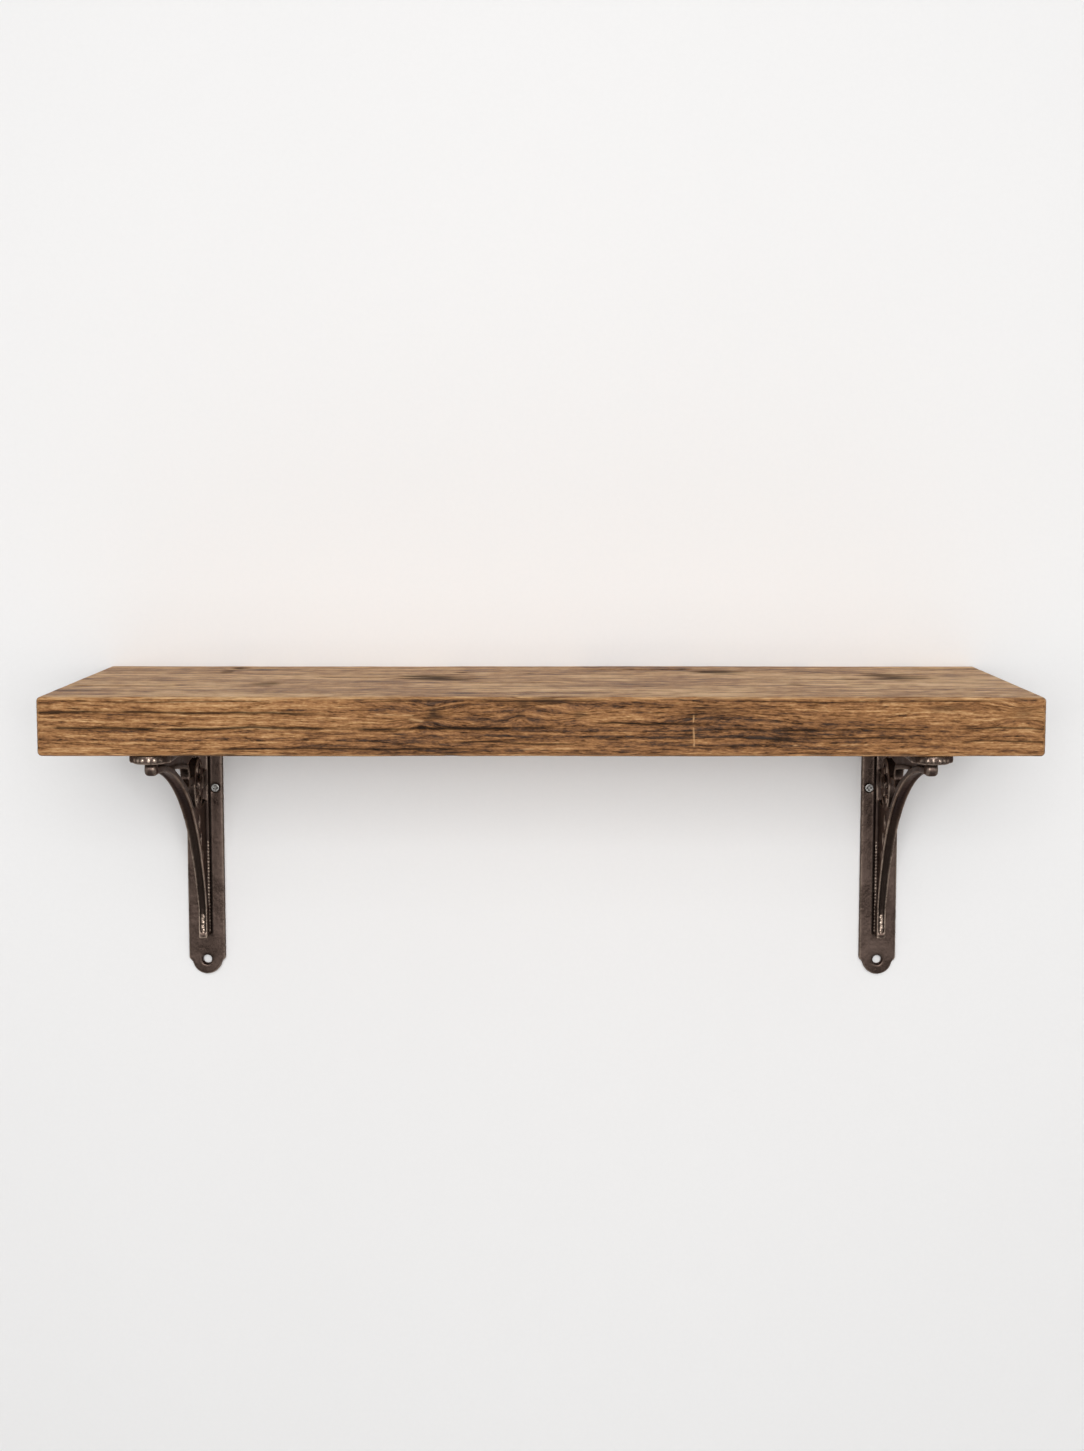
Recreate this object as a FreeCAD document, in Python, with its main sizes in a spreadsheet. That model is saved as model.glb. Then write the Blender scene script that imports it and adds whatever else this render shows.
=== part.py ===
import FreeCAD, Part
import math
import os
import re
import Sketcher

# Driving dimensions in millimetres. Angles are in degrees, and counts and shares are plain numbers.
SIZES = {
    # Plank
    "board_width": 600.0,
    "board_depth": 225.0,
    "board_thickness": 36.0,
    "board_edge_radius": 3.5,
    # Flat plates of a bracket
    "bracket_inset": 65.0,
    "plate_width": 25.5,
    "plate_thickness": 5.5,
    "plate_edge_radius": 0.9,
    "plate_corner_radius": 4.0,
    "wall_hole_drop": 170.4,
    "arm_end_reach": 211.5,
    "tongue_radius": 10.4,
    "shoulder_fall": 1.6,
    "wall_hole_diameter": 6.2,
    "wall_hole_countersink": 7.8,
    # Ribs and webs behind the ornament
    "rib_width": 7.2,
    "rib_stand": 7.0,
    "web_thickness": 4.0,
    "arm_web_drop": 14.5,
    "web_top_drop": 54.0,
    "web_top_radius": 130.0,
    # Curved brace
    "brace_width": 8.4,
    "flange_thickness": 4.4,
    "foot_width": 6.2,
    "foot_reach": 22.5,
    "foot_gap": 18.4,
    "foot_length": 22.0,
    "brace_mid_reach": 96.0,
    "brace_mid_drop": 43.5,
    "brace_front_radius": 240.0,
    "brace_rear_radius": 165.0,
    "brace_face_drop": 13.0,
    "channel_width": 3.4,
    "channel_depth": 0.9,
    "channel_margin": 4.0,
    # Knob at the front end of the brace
    "knob_setback": 4.0,
    "knob_radius": 4.5,
    "knob_width": 7.6,
    "knob_round": 2.2,
    # Long eye between brace and arm
    "scroll_width": 6.4,
    "eye_tip_reach": 150.0,
    "eye_tip_drop": 18.0,
    "eye_end_reach": 92.0,
    "eye_top_drop": 24.7,
    "eye_height": 11.8,
    "eye_top_radius": 600.0,
    "eye_rim": 3.2,
    # Round medallion with a flower
    "medallion_reach": 46.0,
    "medallion_drop": 40.5,
    "medallion_radius": 18.0,
    "medallion_rim": 3.4,
    "petal_count": 6,
    "petal_radius": 4.3,
    "petal_thickness": 5.4,
    "boss_radius": 6.6,
    "boss_stand": 4.0,
    "boss_step": 1.5,
    # Flared bars that tie the medallion to the rest
    "bar_width": 5.0,
    "bar_flare": 4.0,
    "bar_curve_radius": 16.0,
    "front_bar_rise": 5.0,
    # Drop-shaped openings in the lower web
    "drop_count": 3,
    "drop_radius": 4.2,
    "drop_shrink": 0.7,
    "drop_length": 7.0,
    "drop_curve_radius": 14.0,
    "first_drop_reach": 42.0,
    "first_drop_drop": 67.0,
    "drop_step_reach": 6.0,
    "drop_step_drop": 12.5,
    # Screws
    "screw_diameter": 3.4,
    "screw_core_diameter": 2.7,
    "screw_head_diameter": 5.6,
    "screw_tip_length": 4.0,
    "screw_recess_width": 0.9,
    "screw_recess_span": 3.2,
    "screw_recess_depth": 1.1,
    "wall_screw_length": 32.0,
    "board_screw_length": 26.0,
    "screw_offset": 7.3,
    "wall_screw_drop": 48.9,
    "rear_screw_reach": 64.0,
    "front_screw_reach": 172.0,
    "countersink_diameter": 6.5,
    # Clearances
    "screw_clearance": 0.25,
    "seat_clearance": 0.05,
    "pilot_end_room": 1.0,
    "overrun": 2.0,
    "casting_bite": 0.6,
}

# Height that a line set square off the brace gains per unit of offset, at the middle of the brace.
BRACE_RISE_SHARE = 1.15
# Length that the pointed end of the eye gains per unit of rim.
EYE_TIP_SHARE = 4.0
# Where the front bar ends inside the eye's round end, by the eye's height.
EYE_BAR_SHARE = 0.25
COUNTERSINK_ANGLE = 90.0

doc = FreeCAD.newDocument("wall_shelf")
sheet = doc.addObject("Spreadsheet::Sheet", "sizes")
for row, (alias, number) in enumerate(SIZES.items(), start=1):
    sheet.set(f"A{row}", alias)
    sheet.set(f"B{row}", str(number))
    sheet.setAlias(f"B{row}", alias)
doc.recompute()


def bound(text):
    """The expression with each size name pointed at its cell of the sheet."""
    return re.sub(r"[a-z_]+", lambda word: f"sizes.{word[0]}" if word[0] in SIZES else word[0], text)


def value(text):
    return float(sheet.evalExpression(bound(text)))


def bind(target, path, text):
    target.setExpression(path, bound(text))


def new_body(label):
    body = doc.addObject("PartDesign::Body", label)
    body.Label = label
    return body


def new_sketch(body, name, plane, across="0", up="0", out="0"):
    """A sketch on one of the body's own origin planes, its origin shifted within and out of the plane."""
    sketch = body.newObject("Sketcher::SketchObject", name)
    support = next(item for item in body.Origin.OriginFeatures if item.Role == plane)
    sketch.AttachmentSupport = [(support, "")]
    sketch.MapMode = "FlatFace"
    for axis, text in (("x", across), ("y", up), ("z", out)):
        if text != "0":
            bind(sketch, f"AttachmentOffset.Base.{axis}", text)
    return sketch


def constrain(sketch, kind, text, *ends):
    index = sketch.addConstraint(Sketcher.Constraint(kind, *ends, value(text)))
    bind(sketch, f"Constraints[{index}]", text)


def pin(sketch, edge, end, place):
    """Fixes one point of an edge at its place, across and up from the sketch's origin."""
    for kind, axis, text in (("DistanceX", -2, place[0]), ("DistanceY", -1, place[1])):
        if text == "0":
            sketch.addConstraint(Sketcher.Constraint("PointOnObject", edge, end, axis))
        else:
            constrain(sketch, kind, text, -1, 1, edge, end)


def arc_between(start, finish, radius, turn):
    """The shorter arc from start to finish, turning left or right on its way."""
    chord = finish - start
    middle = (start + finish) / 2
    left = FreeCAD.Vector(-chord.y, chord.x, 0).normalize()
    height = math.sqrt(max(radius**2 - (chord.Length / 2) ** 2, 0))
    centre = middle + left * (height if turn == "left" else -height)
    first, last = (start, finish) if turn == "left" else (finish, start)
    angles = [math.atan2(point.y - centre.y, point.x - centre.x) for point in (first, last)]
    circle = Part.Circle(centre, FreeCAD.Vector(0, 0, 1), radius)
    return Part.ArcOfCircle(circle, *angles)


def add_outline(sketch, corners):
    """A closed outline. A corner is (across, up), or (across, up, radius, turn) where an arc leaves it."""
    points = [FreeCAD.Vector(value(corner[0]), value(corner[1]), 0) for corner in corners]
    ends = []
    for number, corner in enumerate(corners):
        start, finish = points[number], points[(number + 1) % len(points)]
        if len(corner) == 2:
            edge = sketch.addGeometry(Part.LineSegment(start, finish), False)
            ends.append((edge, 1, 2))
        else:
            radius, turn = corner[2:]
            edge = sketch.addGeometry(arc_between(start, finish, value(radius), turn), False)
            ends.append((edge, 1, 2) if turn == "left" else (edge, 2, 1))
    for number, (edge, first, last) in enumerate(ends):
        following = ends[(number + 1) % len(ends)]
        sketch.addConstraint(Sketcher.Constraint("Coincident", edge, last, following[0], following[1]))
        pin(sketch, edge, first, corners[number])
        if len(corners[number]) > 2:
            constrain(sketch, "Radius", corners[number][2], edge)


def add_circle(sketch, place, radius):
    centre = FreeCAD.Vector(value(place[0]), value(place[1]), 0)
    circle = Part.Circle(centre, FreeCAD.Vector(0, 0, 1), value(radius))
    edge = sketch.addGeometry(circle, False)
    if place == ("0", "0"):
        sketch.addConstraint(Sketcher.Constraint("Coincident", edge, 3, -1, 1))
    else:
        pin(sketch, edge, 3, place)
    constrain(sketch, "Radius", radius, edge)


def extrude(body, kind, name, sketch, length, side="One side", back=False):
    """A pad or pocket of the sketch, whose change of volume is checked."""
    before = body.Shape.Volume if body.Tip else 0.0
    feature = body.newObject(f"PartDesign::{kind}", name)
    feature.Profile = sketch
    feature.SideType = side
    feature.Reversed = back
    bind(feature, "Length", length)
    doc.recompute()
    change = body.Shape.Volume - before
    if (change <= 0) if kind == "Pad" else (change >= 0):
        raise ValueError(f"{body.Label}: {name} changed the volume by {change:.3f}")
    return feature


def pad_both_ways(body, name, sketch, width):
    return extrude(body, "Pad", name, sketch, width, side="Symmetric")


def cut_both_ways(body, name, sketch, width):
    return extrude(body, "Pocket", name, sketch, width, side="Symmetric")


def round_edges(body, name, base, radius, wanted):
    """Rounds the edges of the base feature that the test picks out."""
    fillet = body.newObject("PartDesign::Fillet", name)
    edges = [f"Edge{number}" for number, edge in enumerate(base.Shape.Edges, start=1) if wanted(edge)]
    fillet.Base = (base, edges)
    bind(fillet, "Radius", radius)
    doc.recompute()
    return fillet


def revolve(body, name, sketch):
    """A full turn of the sketch about its own horizontal axis."""
    feature = body.newObject("PartDesign::Revolution", name)
    feature.Profile = sketch
    feature.ReferenceAxis = (sketch, ["H_Axis"])
    feature.Angle = 360
    doc.recompute()
    return feature


def plate_corners(end):
    """A plate from its corner to a round tongue, whose centre lies at the given distance along it."""
    half = "plate_width / 2"
    waist = "sqrt(tongue_radius ^ 2 - shoulder_fall ^ 2)"
    tongue = f"{end} + shoulder_fall"
    return [
        (f"-{half}", "0"),
        (half, "0"),
        (half, f"{end} - shoulder_fall / 2"),
        (waist, tongue, "tongue_radius", "left"),
        (f"-{waist}", tongue),
        (f"-{half}", f"{end} - shoulder_fall / 2"),
    ]


BRACKET_ACROSS = "(board_width / 2 - bracket_inset)"
# The foot of the brace ends above the lower hole, and the brace bends forwards above the foot.
FOOT_DROP = "(wall_hole_drop - foot_gap)"
BEND_DROP = "(wall_hole_drop - foot_gap - foot_length)"
KNOB_REACH = "(arm_end_reach - knob_setback)"
KNOB_DROP = "(plate_thickness + knob_radius - casting_bite)"
# Depth of a screw head below the open face of a plate, resting in its countersink.
HEAD_DEPTH = "((countersink_diameter - screw_head_diameter) / 2 - seat_clearance)"


def brace_line(set_back):
    """The curved line of the brace from its bend to the knob, set back from the front face."""
    return [
        (f"foot_reach - {set_back}", BEND_DROP, f"brace_rear_radius + {set_back}", "left"),
        (
            "brace_mid_reach",
            f"brace_mid_drop - {set_back} * {BRACE_RISE_SHARE}",
            f"brace_front_radius + {set_back}",
            "left",
        ),
        (KNOB_REACH, f"brace_face_drop - {set_back}"),
    ]


def returned(line):
    """The same curved line walked the other way."""
    flipped = {"left": "right", "right": "left"}
    corners = []
    for number in range(len(line) - 1, -1, -1):
        arc = line[number - 1][2:] if number else ()
        corners.append((*line[number][:2], *((arc[0], flipped[arc[1]]) if arc else ())))
    return corners


def brace_band(near, far, foot):
    """The strip of the brace between two set-backs from its front face, down to the given foot."""
    return [
        (f"foot_reach - {near}", foot),
        *brace_line(near),
        *returned(brace_line(far)),
        (f"foot_reach - {far}", foot),
    ]


def add_lower_web(body):
    """The solid tail of the web: hollowed round the medallion above, with a row of drops through it."""
    middle = "(flange_thickness / 2)"
    line = brace_line(middle)[:2]
    sketch = new_sketch(body, "lower_web_outline", "YZ_Plane")
    add_outline(
        sketch,
        [
            ("0", FOOT_DROP),
            (f"foot_reach - {middle}", FOOT_DROP),
            line[0],
            (*line[1][:2], "web_top_radius", "left"),
            ("0", "web_top_drop"),
        ],
    )
    pad_both_ways(body, "lower_web", sketch, "web_thickness")
    openings = new_sketch(body, "drop_openings", "YZ_Plane")
    for number in range(int(value("drop_count"))):
        radius = f"(drop_radius - {number} * drop_shrink)"
        reach = f"(first_drop_reach - {number} * drop_step_reach)"
        drop = f"(first_drop_drop + {number} * drop_step_drop)"
        curve = f"drop_curve_radius + {radius}"
        add_outline(
            openings,
            [
                (f"{reach} - {radius}", drop, radius, "left"),
                (reach, f"{drop} - {radius}", radius, "left"),
                (f"{reach} + {radius}", drop, curve, "left"),
                (f"{reach} - {radius} / 2", f"{drop} + drop_length", curve, "left"),
            ],
        )
    cut_both_ways(body, "drops", openings, "web_thickness + overrun")


def add_brace(body):
    """The curved brace: a flange that narrows to its foot, with a shallow channel along its face."""
    sketch = new_sketch(body, "brace_outline", "YZ_Plane")
    add_outline(sketch, brace_band("0", "flange_thickness", FOOT_DROP))
    pad_both_ways(body, "brace", sketch, "brace_width")
    sketch = new_sketch(body, "brace_taper_outline", "XZ_Plane", out="-(arm_end_reach + overrun)")
    for side in ("", "-"):
        add_outline(
            sketch,
            [
                (f"{side}(brace_width / 2)", "brace_mid_drop"),
                (f"{side}(foot_width / 2)", BEND_DROP),
                (f"{side}(foot_width / 2)", f"{FOOT_DROP} + overrun"),
                (f"{side}(brace_width / 2 + overrun)", f"{FOOT_DROP} + overrun"),
                (f"{side}(brace_width / 2 + overrun)", "brace_mid_drop"),
            ],
        )
    reach = "arm_end_reach + overrun - plate_thickness"
    extrude(body, "Pocket", "brace_taper", sketch, reach, back=True)
    sketch = new_sketch(body, "channel_outline", "YZ_Plane")
    add_outline(sketch, brace_band("(-overrun)", "channel_depth", f"{FOOT_DROP} - channel_margin"))
    cut_both_ways(body, "channel", sketch, "channel_width")


def eye_corners(rim):
    """The long pointed eye between brace and arm, grown outwards by the rim."""
    end = f"eye_height / 2 + {rim}"
    tip = f"eye_tip_reach + {rim} * {EYE_TIP_SHARE}"
    lower_radius = "brace_front_radius + flange_thickness"
    return [
        (tip, f"eye_tip_drop - {rim}", "eye_top_radius", "right"),
        ("eye_end_reach", f"eye_top_drop - {rim}", end, "right"),
        (f"eye_end_reach - ({end})", "eye_top_drop + eye_height / 2", end, "right"),
        ("eye_end_reach", f"eye_top_drop + eye_height + {rim}", lower_radius, "left"),
    ]


def add_eye(body):
    sketch = new_sketch(body, "eye_rim_outline", "YZ_Plane")
    add_outline(sketch, eye_corners("eye_rim"))
    add_outline(sketch, eye_corners("0"))
    pad_both_ways(body, "eye_rim", sketch, "scroll_width")


def add_medallion(body):
    """A ring with a flower in it: petals between the ring and a stepped boss."""
    place = {"across": "medallion_reach", "up": "medallion_drop"}
    sketch = new_sketch(body, "medallion_outline", "YZ_Plane", **place)
    add_circle(sketch, ("0", "0"), "medallion_radius")
    add_circle(sketch, ("0", "0"), "medallion_radius - medallion_rim")
    pad_both_ways(body, "medallion_ring", sketch, "scroll_width")
    sketch = new_sketch(body, "boss_profile", "XY_Plane", up="medallion_reach", out="medallion_drop")
    full = "(web_thickness / 2 + boss_stand)"
    step = f"({full} - boss_step)"
    inner = "(boss_radius - boss_step)"
    add_outline(
        sketch,
        [
            (f"-{full}", "0"),
            (full, "0"),
            (full, f"{inner} - boss_step", "boss_step", "left"),
            (step, inner),
            (step, "boss_radius"),
            (f"-{step}", "boss_radius"),
            (f"-{step}", inner, "boss_step", "left"),
            (f"-{full}", f"{inner} - boss_step"),
        ],
    )
    revolve(body, "boss", sketch)
    sketch = new_sketch(body, "petal_outline", "YZ_Plane", **place)
    add_circle(sketch, ("0", "(medallion_radius - medallion_rim + boss_radius) / 2"), "petal_radius")
    petal = pad_both_ways(body, "petal", sketch, "petal_thickness")
    flower = body.newObject("PartDesign::PolarPattern", "petals")
    flower.Originals = [petal]
    flower.Axis = (sketch, ["N_Axis"])
    flower.Angle = 360
    bind(flower, "Occurrences", "petal_count")
    body.Tip = flower
    doc.recompute()


def flared_bar(root, finish, line, turn, upright):
    """A bar with hollowed sides along reach, or along drop if upright, widest at its root."""
    narrow = "bar_width / 2"
    wide = "(bar_width / 2 + bar_flare)"
    corners = [
        (root, f"{line} - {wide}", "bar_curve_radius", turn),
        (finish, f"{line} - {narrow}"),
        (finish, f"{line} + {narrow}", "bar_curve_radius", turn),
        (root, f"{line} + {wide}"),
    ]
    return [(corner[1], corner[0], *corner[2:]) for corner in corners] if upright else corners


def add_bars(body):
    """Bars from the medallion to the arm, the wall rib, the lower web and the long eye."""
    inner = "(medallion_radius - medallion_rim / 2)"
    arm = "(arm_web_drop - casting_bite)"
    rib = "(plate_thickness + rib_stand - casting_bite)"
    web = "(first_drop_drop - drop_radius - casting_bite)"
    ring_front = "medallion_reach + medallion_radius - medallion_rim"
    front_line = "medallion_drop - front_bar_rise"
    eye = f"eye_end_reach - eye_height * {EYE_BAR_SHARE} - eye_rim / 2"
    bars = {
        "upper": flared_bar(arm, f"medallion_drop - {inner}", "medallion_reach", "left", True),
        "rear": flared_bar(rib, f"medallion_reach - {inner}", "medallion_drop", "right", False),
        "lower": flared_bar(web, f"medallion_drop + {inner}", "medallion_reach", "right", True),
        "front": [
            (ring_front, f"{front_line} - bar_width / 2"),
            (eye, f"{front_line} - bar_width / 2"),
            (eye, f"{front_line} + bar_width / 2"),
            (ring_front, f"{front_line} + bar_width / 2"),
        ],
    }
    for name, corners in bars.items():
        sketch = new_sketch(body, f"{name}_bar_outline", "YZ_Plane")
        add_outline(sketch, corners)
        pad_both_ways(body, f"{name}_bar", sketch, "web_thickness")


def add_ribs(body):
    sketch = new_sketch(body, "wall_rib_outline", "YZ_Plane")
    rib_front = "plate_thickness + rib_stand"
    add_outline(sketch, [("0", "0"), (rib_front, "0"), (rib_front, FOOT_DROP), ("0", FOOT_DROP)])
    pad_both_ways(body, "wall_rib", sketch, "rib_width")
    sketch = new_sketch(body, "foot_outline", "YZ_Plane")
    foot_back = "foot_reach - flange_thickness / 2"
    add_outline(
        sketch,
        [("0", BEND_DROP), (foot_back, BEND_DROP), (foot_back, FOOT_DROP), ("0", FOOT_DROP)],
    )
    pad_both_ways(body, "foot", sketch, "foot_width")
    sketch = new_sketch(body, "arm_web_outline", "YZ_Plane")
    add_outline(
        sketch,
        [
            ("0", "0"),
            (KNOB_REACH, "0"),
            (KNOB_REACH, KNOB_DROP),
            ("eye_tip_reach", "eye_tip_drop - eye_rim / 2"),
            ("eye_end_reach", "eye_top_drop - eye_rim / 2"),
            ("0", "arm_web_drop"),
        ],
    )
    pad_both_ways(body, "arm_web", sketch, "web_thickness")


def add_knob(body):
    """The rolled end of the brace: a short barrel across the bracket."""
    sketch = new_sketch(body, "knob_profile", "XY_Plane", up=KNOB_REACH, out=KNOB_DROP)
    half = "(knob_width / 2)"
    add_outline(
        sketch,
        [
            (f"-{half}", "0"),
            (half, "0"),
            (half, "knob_radius - knob_round", "knob_round", "left"),
            (f"{half} - knob_round", "knob_radius"),
            (f"-({half} - knob_round)", "knob_radius", "knob_round", "left"),
            (f"-{half}", "knob_radius - knob_round"),
        ],
    )
    revolve(body, "knob", sketch)


def add_plates(body):
    """The two flat plates in one corner, rounded along their open faces and in the corner between them."""
    for name, plane, end, back in (
        ("wall_plate", "XZ_Plane", "wall_hole_drop", True),
        ("arm_plate", "XY_Plane", "arm_end_reach", False),
    ):
        sketch = new_sketch(body, f"{name}_outline", plane)
        add_outline(sketch, plate_corners(end))
        arm = extrude(body, "Pad", name, sketch, "plate_thickness", back=back)
    thickness = value("plate_thickness")

    def open_face(edge):
        """Whether the edge lies on the open face of the wall plate, of the arm plate, or of both."""
        box = edge.BoundBox
        on_wall = math.isclose(box.YMin, thickness) and math.isclose(box.YMax, thickness)
        on_arm = math.isclose(box.ZMin, thickness) and math.isclose(box.ZMax, thickness)
        return on_wall, on_arm

    corner = round_edges(body, "plate_corner", arm, "plate_corner_radius", lambda edge: all(open_face(edge)))
    side = value("plate_width / 2")

    def outer_edge(edge):
        """An edge round the open faces, the rounded corner's two ends with them."""
        box = edge.BoundBox
        at_side = math.isclose(abs(box.XMin), side) and math.isclose(box.XMin, box.XMax)
        in_corner = min(box.YMin, box.ZMin) >= thickness
        across = math.isclose(box.XMin, -side) and math.isclose(box.XMax, side)
        return (any(open_face(edge)) or (at_side and in_corner)) and not across

    round_edges(body, "plate_edges", corner, "plate_edge_radius", outer_edge)


def drill(body, name, sketch, back, diameter, countersink):
    """Countersunk holes through a plate, at the circles of the sketch on the plate's open face."""
    before = body.Shape.Volume
    hole = body.newObject("PartDesign::Hole", name)
    hole.Profile = sketch
    doc.recompute()
    hole.DepthType = "Dimension"
    hole.DrillPoint = "Flat"
    hole.Reversed = back
    hole.HoleCutType = "Countersink"
    hole.HoleCutCustomValues = True
    hole.HoleCutCountersinkAngle = COUNTERSINK_ANGLE
    bind(hole, "Depth", "plate_thickness + overrun")
    bind(hole, "Diameter", diameter)
    bind(hole, "HoleCutDiameter", countersink)
    doc.recompute()
    if body.Shape.Volume >= before:
        raise ValueError(f"{body.Label}: {name} cut nothing")


def add_holes(body):
    through = "screw_diameter + 2 * screw_clearance"
    pair = ("-screw_offset", "screw_offset")
    sketch = new_sketch(body, "wall_screw_places", "XZ_Plane", out="-plate_thickness")
    for side in pair:
        add_circle(sketch, (side, "wall_screw_drop"), "screw_diameter / 2")
    drill(body, "wall_screw_holes", sketch, True, through, "countersink_diameter")
    sketch = new_sketch(body, "lower_hole_place", "XZ_Plane", out="-plate_thickness")
    add_circle(sketch, ("0", "wall_hole_drop"), "wall_hole_diameter / 2")
    drill(body, "lower_wall_hole", sketch, True, "wall_hole_diameter", "wall_hole_countersink")
    sketch = new_sketch(body, "board_screw_places", "XY_Plane", out="plate_thickness")
    for side in pair:
        for reach in ("rear_screw_reach", "front_screw_reach"):
            add_circle(sketch, (side, reach), "screw_diameter / 2")
    drill(body, "board_screw_holes", sketch, False, through, "countersink_diameter")


def make_bracket(label):
    """One casting. Its own frame starts at the corner of the plates: Y is reach from the wall, Z is drop."""
    body = new_body(label)
    add_plates(body)
    add_lower_web(body)
    add_eye(body)
    add_medallion(body)
    add_bars(body)
    add_brace(body)
    add_ribs(body)
    add_knob(body)
    add_holes(body)
    turned = FreeCAD.Rotation(FreeCAD.Vector(1, 0, 0), 180)
    body.Placement = FreeCAD.Placement(FreeCAD.Vector(0, 0, 0), turned)
    bind(body, "Placement.Base.x", f"-{BRACKET_ACROSS}")
    bind(body, "Placement.Base.z", "-board_thickness / 2")
    return body


def make_board():
    """The plank: its back face lies on the wall plane, centred on the origin."""
    body = new_body("shelf_board")
    half = "board_width / 2"
    sketch = new_sketch(body, "board_outline", "XY_Plane")
    add_outline(
        sketch,
        [(f"-{half}", "-board_depth"), (half, "-board_depth"), (half, "0"), (f"-{half}", "0")],
    )
    plank = pad_both_ways(body, "plank", sketch, "board_thickness")
    round_edges(body, "soft_edges", plank, "board_edge_radius", lambda edge: True)
    sketch = new_sketch(body, "pilot_places", "XY_Plane", out="-board_thickness / 2")
    for side in (-1, 1):
        for offset in (-1, 1):
            for reach in ("rear_screw_reach", "front_screw_reach"):
                place = (f"{side} * {BRACKET_ACROSS} + {offset} * screw_offset", f"-{reach}")
                add_circle(sketch, place, "screw_core_diameter / 2 + screw_clearance")
    depth = "board_screw_length - plate_thickness + pilot_end_room"
    extrude(body, "Pocket", "pilots", sketch, depth, back=True)
    return body


def make_screw(label, length):
    """A countersunk screw. Its head lies at its own origin, and along +X a plain shank as long as the
    plate is thick leads to the core of the thread."""
    body = new_body(label)
    shank_end = f"plate_thickness - {HEAD_DEPTH} - seat_clearance"
    sketch = new_sketch(body, "screw_profile", "XY_Plane")
    add_outline(
        sketch,
        [
            ("0", "0"),
            (length, "0"),
            (f"{length} - screw_tip_length", "screw_core_diameter / 2"),
            (shank_end, "screw_core_diameter / 2"),
            (shank_end, "screw_diameter / 2"),
            ("(screw_head_diameter - screw_diameter) / 2", "screw_diameter / 2"),
            ("0", "screw_head_diameter / 2"),
        ],
    )
    revolve(body, "screw", sketch)
    sketch = new_sketch(body, "recess_outline", "YZ_Plane")
    arm = "screw_recess_span / 2"
    slot = "screw_recess_width / 2"
    quarter = [(arm, f"-{slot}"), (arm, slot), (slot, slot)]
    corners = []
    for turn in range(4):
        corners += quarter
        quarter = [(f"-({up})", across) for across, up in quarter]
    add_outline(sketch, corners)
    extrude(body, "Pocket", "recess", sketch, "screw_recess_depth", back=True)
    return body


def mirrored(source):
    """The right-hand copy of a left-hand piece, mirrored across the shelf's middle."""
    label = source.Label.replace("left_", "right_")
    copy = doc.addObject("Part::Mirroring", label)
    copy.Label = label
    copy.Source = source
    copy.Base = FreeCAD.Vector(0, 0, 0)
    copy.Normal = FreeCAD.Vector(1, 0, 0)
    return copy


def make_left_side():
    """The left bracket and its screws, each head resting in its countersink."""
    pieces = [make_bracket("left_bracket")]
    for place, offset in (("inner", 1), ("outer", -1)):
        across = f"{offset} * screw_offset - {BRACKET_ACROSS}"
        screw = make_screw(f"left_wall_screw_{place}", "wall_screw_length")
        screw.Placement.Rotation = FreeCAD.Rotation(FreeCAD.Vector(0, 0, 1), 90)
        bind(screw, "Placement.Base.x", across)
        bind(screw, "Placement.Base.y", f"{HEAD_DEPTH} - plate_thickness")
        bind(screw, "Placement.Base.z", "-board_thickness / 2 - wall_screw_drop")
        pieces.append(screw)
        for row in ("rear", "front"):
            screw = make_screw(f"left_{row}_board_screw_{place}", "board_screw_length")
            screw.Placement.Rotation = FreeCAD.Rotation(FreeCAD.Vector(0, 1, 0), -90)
            bind(screw, "Placement.Base.x", across)
            bind(screw, "Placement.Base.y", f"-{row}_screw_reach")
            bind(screw, "Placement.Base.z", f"{HEAD_DEPTH} - board_thickness / 2 - plate_thickness")
            pieces.append(screw)
    doc.recompute()
    return pieces


left_side = make_left_side()
parts = [make_board(), *left_side, *(mirrored(piece) for piece in left_side)]
doc.recompute()

failed = [item.Label for item in doc.Objects if {"Invalid", "Error"} & set(item.State)]
if failed:
    raise ValueError(f"failed objects: {failed}")
for part in parts:
    if part.Shape.isNull() or not part.Shape.isValid() or len(part.Shape.Solids) != 1:
        raise ValueError(f"{part.Label} is not one sound solid")

os.makedirs("parts", exist_ok=True)
for part in parts:
    part.Shape.exportStep(f"parts/{part.Label}.step")
    print(part.Label, round(part.Shape.Volume), part.Shape.BoundBox)
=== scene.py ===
import math

import bpy
import numpy as np
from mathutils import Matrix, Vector


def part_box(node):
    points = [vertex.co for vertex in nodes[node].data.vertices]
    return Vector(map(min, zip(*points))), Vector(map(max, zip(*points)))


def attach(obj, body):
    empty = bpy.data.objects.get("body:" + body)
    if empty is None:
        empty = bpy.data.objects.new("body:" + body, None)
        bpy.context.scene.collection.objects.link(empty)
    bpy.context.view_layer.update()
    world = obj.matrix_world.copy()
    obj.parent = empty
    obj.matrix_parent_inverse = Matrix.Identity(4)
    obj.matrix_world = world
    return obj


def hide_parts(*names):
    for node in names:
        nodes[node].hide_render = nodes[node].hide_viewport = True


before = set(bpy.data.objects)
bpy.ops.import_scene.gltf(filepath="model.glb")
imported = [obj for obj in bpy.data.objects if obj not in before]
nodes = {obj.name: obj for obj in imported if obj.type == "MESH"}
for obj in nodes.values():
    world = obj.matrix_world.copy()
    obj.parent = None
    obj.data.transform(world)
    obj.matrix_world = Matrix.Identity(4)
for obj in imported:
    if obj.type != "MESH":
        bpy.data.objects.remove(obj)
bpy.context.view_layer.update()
MM = 0.001


def box_mm(node):
    """The low and high corners of a node's box, in millimetres."""
    return [np.array(corner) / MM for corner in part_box(node)]


# Plank, in millimetres, from its solid: half length, depth and half thickness, then the round of its edges.
board_low, board_high = np.round(box_mm("shelf_board"), 2)
PLANK_HALF = board_high[0]
PLANK_DEPTH = -board_low[1]
PLANK_HALF_THICK = board_high[2]
PLANK_ROUND = 3.0

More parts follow.
